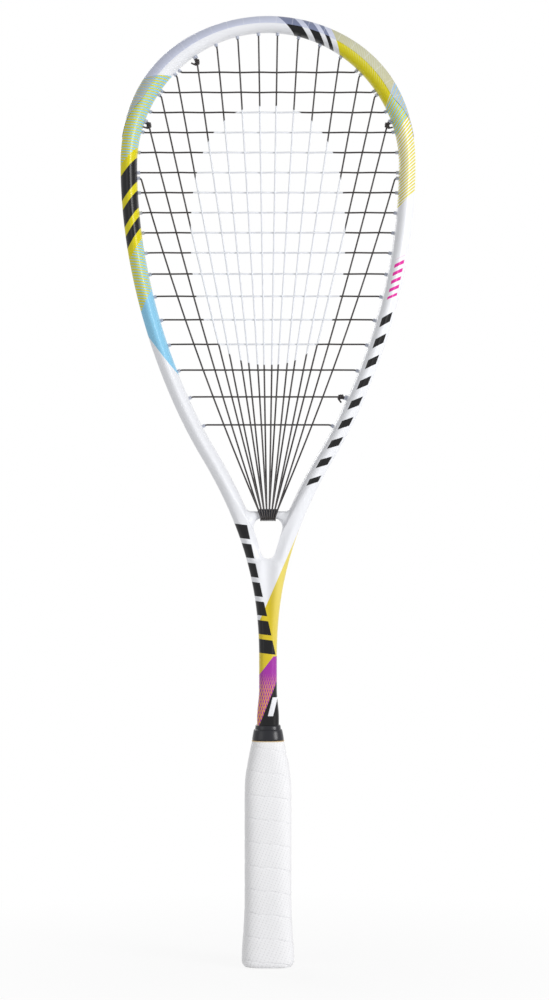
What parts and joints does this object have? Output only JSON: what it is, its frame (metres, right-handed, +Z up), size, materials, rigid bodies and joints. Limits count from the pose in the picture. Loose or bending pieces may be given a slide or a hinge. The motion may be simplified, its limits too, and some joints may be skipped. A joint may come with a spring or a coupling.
{
  "type": "squash racket",
  "caption": "Teardrop-headed squash racket with a fanned string bed looped round a short throat bridge, a clear crown bumper, a slim round shaft and a wound grip.",
  "frame": {"origin": "centre of the flat butt end", "axes": "+X across the head, +Y from the front of the string bed to the back, +Z up the handle to the crown"},
  "size_m": [0.213, 0.0332, 0.686],
  "materials": {
    "frame_lacquer": "clear-lacquered paint on carbon fibre",
    "black_rubber": "matt moulded rubber",
    "clear_nylon": "frosted translucent nylon",
    "string_nylon": "coated multifilament string",
    "pallet_foam": "moulded hard foam",
    "cap_plastic": "moulded plastic",
    "staple_steel": "drawn wire",
    "grip_skin": "dimpled synthetic leather",
    "tan_tape": "adhesive tape"
  },
  "bodies": {
    "root": {"frame": "frame_lacquer", "throat_bridge": "frame_lacquer", "bridge_pad": "black_rubber", "bumper_guard": "clear_nylon", "grommet_strip_left": "clear_nylon", "grommet_strip_right": "clear_nylon", "main_string": "string_nylon", "cross_string": "string_nylon", "handle_pallet_front": "pallet_foam", "handle_pallet_back": "pallet_foam", "butt_cap": "cap_plastic", "butt_cap_staples": "staple_steel", "grip_tape": "grip_skin", "finishing_tape": "tan_tape", "grip_collar": "black_rubber"}
  },
  "joints": []
}
